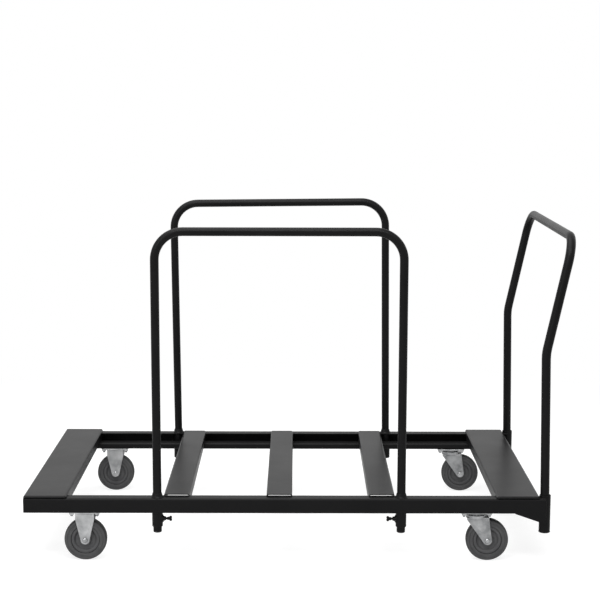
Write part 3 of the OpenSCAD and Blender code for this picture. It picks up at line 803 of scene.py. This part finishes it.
newPiece("weldBeads", makeWelds(weldSet), "chassis", "black_coat")
newPiece("bossBeads", makeBossWelds(weldSet), "chassis", "black_coat")
print("welds laid")


# thumb screws: threaded shank with a hub, and a two-lobed paddle

screwSet = {
    "radius": 0.0032, "pitch": 0.00127, "threadFrom": 0.0012,
    "tip": ((0.0012, 0.0), (0.00227, 0.00105), (0.0025, 0.0015)),  # (radius, height) from the point up
    "neck": 0.0040, "hub": 0.0050, "hubHeight": 0.0046, "round": 0.0005, "steps": (24, 48),
    "paddleWidth": 0.0155, "paddleHeight": 0.011, "paddleThick": 0.005, "waist": 0.0045, "edge": 0.0009,
    "lobe": 0.27, "lobeSteps": 28,  # a lobe's radius as a share of the paddle's width
}


def paddleOutline(s):
    # right half from the waist up round its lobe, then mirrored
    lobe = s["paddleWidth"] * s["lobe"]
    cx, cy = s["paddleWidth"] / 2 - lobe, s["paddleHeight"] - lobe
    first = -math.acos((s["waist"] - cx) / lobe)
    last = math.acos(-cx / lobe)
    half = [(s["waist"], 0.0)]
    for i in range(s["lobeSteps"] + 1):
        t = first + (last - first) * i / s["lobeSteps"]
        half.append((cx + lobe * math.cos(t), cy + lobe * math.sin(t)))
    return half + [(-x, y) for x, y in reversed(half[:-1])]


def makeThumbScrew(side, end, s):
    node = f"clamp_screw_{side}_{end}"
    low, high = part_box(node)
    centre = (low + high) / 2
    aim = -ends[end]
    tip = low.x if aim > 0 else high.x
    place = axisFrame((tip, centre.y, centre.z), (aim, 0, 0))
    head = high.x - low.x - s["paddleHeight"]
    soft, base = s["round"], head - s["hubHeight"]
    hub = [(s["neck"] - soft, base), (s["neck"], base + soft), (s["hub"], head - 2 * soft)]
    hub += [(s["hub"], head + soft), (s["hub"] - soft, head + 2 * soft), (s["radius"], head + 3 * soft)]
    tipSteps, hubSteps = s["steps"]
    shank = joined(
        lathe(s["tip"], place, tipSteps),
        thread(place, s["threadFrom"], base + soft, s["radius"], s["pitch"]),
        lathe(hub, place, hubSteps),
    )
    standIn(f"screwShank_{side}_{end}", shank, node)
    faces = (s["paddleThick"] / 2, -s["paddleThick"] / 2)
    rings = [[place @ Vector((x, y, head + h)) for x, h in paddleOutline(s)] for y in faces]
    newPiece(f"screwPaddle_{side}_{end}", skin(rings), bodyOf[node], slotOf[node], edge=s["edge"])


for side in sides:
    for end in ends:
        makeThumbScrew(side, end, screwSet)
print("thumb screws built")


# plugs in the feet of the hoops and under the handle's sockets

plugEdges = {"foot": 0.0009, "socket": 0.0007}
for side in sides:
    softCopy(f"footPlugs_{side}", f"hoop_plugs_{side}", plugEdges["foot"])
softCopy("socketPlugs", "handle_socket_plugs", plugEdges["socket"])
print("plugs built")


# casters: pressed forks, plates and king pins with broken edges

casterEdges = {"fork": 0.0007, "plate": 0.0006, "pin": 0.0008}
for side in sides:
    softCopy(f"fixedFork_{side}", f"rigid_fork_{side}", casterEdges["fork"])
    softCopy(f"swivelFork_{side}", f"swivel_fork_{side}", casterEdges["fork"], finish=swivelZinc)
    softCopy(f"swivelPlate_{side}", f"swivel_plate_{side}", casterEdges["plate"])
    softCopy(f"kingPin_{side}", f"king_pin_{side}", casterEdges["pin"])
print("forks and plates built")


# balls between the races of the swivel casters

ballSet = {"count": 16, "rings": 14, "facets": 28, "pole": 0.12}  # radians round each pole that stay flat


def makeBalls(side, s):
    node = f"swivel_balls_{side}"
    centre, half = middle(node), halfSize(node)
    radius, orbit = half.z, half.x - half.z
    climb = [s["pole"] + (math.pi - 2 * s["pole"]) * i / s["rings"] for i in range(s["rings"] + 1)]
    profile = [(radius * math.sin(t), -radius * math.cos(t)) for t in climb]
    balls = []
    for t in turnsOf(s["count"]):
        spot = centre + orbit * Vector((math.cos(t), math.sin(t), 0))
        balls.append(lathe(profile, Matrix.Translation(spot), s["facets"]))
    standIn(f"raceBalls_{side}", joined(*balls), node)


for side in sides:
    makeBalls(side, ballSet)
print("balls set")


# wheels: crowned tyre with a moulded ring and a parting line, on a dished core

tyreSet = {
    "seatGap": 0.00005, "steps": 128,
    # the lip at the core, as (out from the seat, in from the wall)
    "lip": ((0.0, 0.0026), (0.0005, 0.0010), (0.0016, 0.0001), (0.004, 0.0)),
    "ring": 0.0532, "ringDepth": 0.0010, "ringHalf": 0.0012, "ringSteps": 8,
    "shoulder": 0.007, "shoulderSteps": 10, "crown": 0.0004, "crownShares": (0.8, 0.6, 0.4, 0.2, 0.08),
    "parting": 0.00018, "partingHalf": 0.00025,
}
coreSet = {
    "steps": 96,
    "outline": (  # (radius, half width) from the bore out to the rim
        (0.0065, 0.0174), (0.0070, 0.0180), (0.0148, 0.0180), (0.0158, 0.0176), (0.0164, 0.0166),
        (0.0182, 0.0090), (0.0192, 0.0075), (0.0206, 0.0070), (0.0282, 0.0070), (0.0296, 0.0074),
        (0.0306, 0.0086), (0.0332, 0.0124), (0.0341, 0.0132), (0.0352, 0.0135), (0.0402, 0.0135),
        (0.0413, 0.0132), (0.04195, 0.0123),
    ),
}


def mirroredLoop(half):
    # closed outline of (radius, height): out along the lower side and back along the upper one
    return [(r, -h) for r, h in half] + [(r, h) for r, h in reversed(half)]


def tyreOutline(radius, wall, rim, s):
    top = radius - s["parting"] - s["crown"]
    half = [(rim + s["seatGap"] + out, wall - inward) for out, inward in s["lip"]]
    for i in range(s["ringSteps"] + 1):
        t = math.pi * i / s["ringSteps"]
        half.append((s["ring"] - s["ringHalf"] * math.cos(t), wall - s["ringDepth"] * math.sin(t)))
    for i in range(s["shoulderSteps"] + 1):
        t = math.pi / 2 * i / s["shoulderSteps"]
        half.append((top - s["shoulder"] * (1 - math.sin(t)), wall - s["shoulder"] * (1 - math.cos(t))))
    for share in s["crownShares"]:
        half.append((top + s["crown"] * (1 - share * share), (wall - s["shoulder"]) * share))
    half.append((radius, s["partingHalf"]))
    return mirroredLoop(half)


def makeWheel(side, end):
    tyre, core = f"wheel_tyre_{side}_{end}", f"wheel_core_{side}_{end}"
    place = axisFrame(middle(tyre), (0, sides[side], 0))
    radius, wall = halfSize(tyre).xy
    rim = coreSet["outline"][-1][0]
    outline = tyreOutline(radius, wall, rim, tyreSet)
    standIn(f"tyre_{side}_{end}", lathe(outline, place, tyreSet["steps"], True), tyre)
    outline = mirroredLoop(coreSet["outline"])
    standIn(f"core_{side}_{end}", lathe(outline, place, coreSet["steps"], True), core)


for side in sides:
    for end in ends:
        makeWheel(side, end)
print("wheels built")


# axle bolts with domed heads, and their nuts

axleSet = {
    "radius": 0.005, "pitch": 0.0015, "overlap": 0.0005, "play": 0.00005, "steps": (40, 56),  # shank and head
    "head": (  # (radius, height) over the fork
        (0.0077, 0.0), (0.0080, 0.0003), (0.0080, 0.0011), (0.0075, 0.0024),
        (0.0062, 0.0037), (0.0044, 0.0045), (0.0024, 0.0049), (0.0005, 0.0050),
    ),
}


def spanAlong(node, place):
    # where a piece begins and ends along local Z
    return sorted((place.inverted() @ corner).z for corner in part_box(node))


def axleBolt(place, tip, face, s):
    shankSteps, headSteps = s["steps"]
    return joined(
        lathe([(s["radius"], -face), (s["radius"], face + s["overlap"])], place, shankSteps),
        thread(place, tip, s["overlap"] - face, s["radius"], s["pitch"]),
        lathe([(r, face + h) for r, h in s["head"]], place, headSteps),
    )


def axleNut(place, flats, low, high, s):
    return bored(hexHead(place, flats, low, high, True), place, s["radius"] + s["play"], low, high)


def makeAxles(s):
    # the fixed casters' bolts and nuts are the swivel casters' over again
    fixedBolts, fixedNuts = [], []
    for side, sign in sides.items():
        bolt, nut = f"swivel_axle_bolt_{side}", f"swivel_axle_nut_{side}"
        place = axisFrame(middle(f"wheel_tyre_{side}_right"), (0, sign, 0))
        tip = spanAlong(bolt, place)[0]
        low, high = spanAlong(nut, place)
        flats = 2 * halfSize(nut).z
        standIn(f"swivelAxleBolt_{side}", axleBolt(place, tip, -high, s), bolt, boltZinc)
        standIn(f"swivelAxleNut_{side}", axleNut(place, flats, low, high, s), nut, boltZinc)
        place = axisFrame(middle(f"wheel_tyre_{side}_left"), (0, sign, 0))
        fixedBolts.append(axleBolt(place, tip, -high, s))
        fixedNuts.append(axleNut(place, flats, low, high, s))
    standIn("fixedAxleBolts", joined(*fixedBolts), "rigid_axle_bolts", boltZinc)
    standIn("fixedAxleNuts", joined(*fixedNuts), "rigid_axle_nuts", boltZinc)


makeAxles(axleSet)
print("axles built")


# bolts and nuts that hold the casters

boltSet = {
    "spread": (0.076, 0.0444), "radius": 0.004, "flats": 0.013, "play": 0.00005,
    "shankPast": 0.003, "threadPast": 0.002, "pitch": 0.00125, "steps": 24,
}


def makeCasterBolts(s):
    # heads on the rail's foot, nuts and thread ends under the plate
    bolts, nuts = [], []
    face = railBottom + sheetSet["thick"]
    tip, top = (corner.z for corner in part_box("caster_bolts"))
    low, high = (face - corner.z for corner in reversed(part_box("caster_nuts")))
    shank = [(s["radius"], 0), (s["radius"], low + s["shankPast"])]
    for plate in [f"rigid_fork_{side}" for side in sides] + [f"swivel_plate_{side}" for side in sides]:
        centre = middle(plate)
        for i in (-0.5, 0.5):
            for j in (-0.5, 0.5):
                spot = (centre.x + i * s["spread"][0], centre.y + j * s["spread"][1], face)
                above = axisFrame(spot, (0, 0, 1), (1, 0, 0))
                below = axisFrame(spot, (0, 0, -1), (1, 0, 0))
                bolts.append(skin(hexHead(above, s["flats"], 0, top - face)))
                bolts.append(lathe(shank, below, s["steps"]))
                bolts.append(thread(below, low + s["threadPast"], face - tip, s["radius"], s["pitch"]))
                rings = hexHead(below, s["flats"], low, high, True)
                nuts.append(bored(rings, below, s["radius"] + s["play"], low, high))
    standIn("casterBolts", joined(*bolts), "caster_bolts", boltZinc)
    standIn("casterNuts", joined(*nuts), "caster_nuts", boltZinc)


makeCasterBolts(boltSet)
print("caster bolts built")
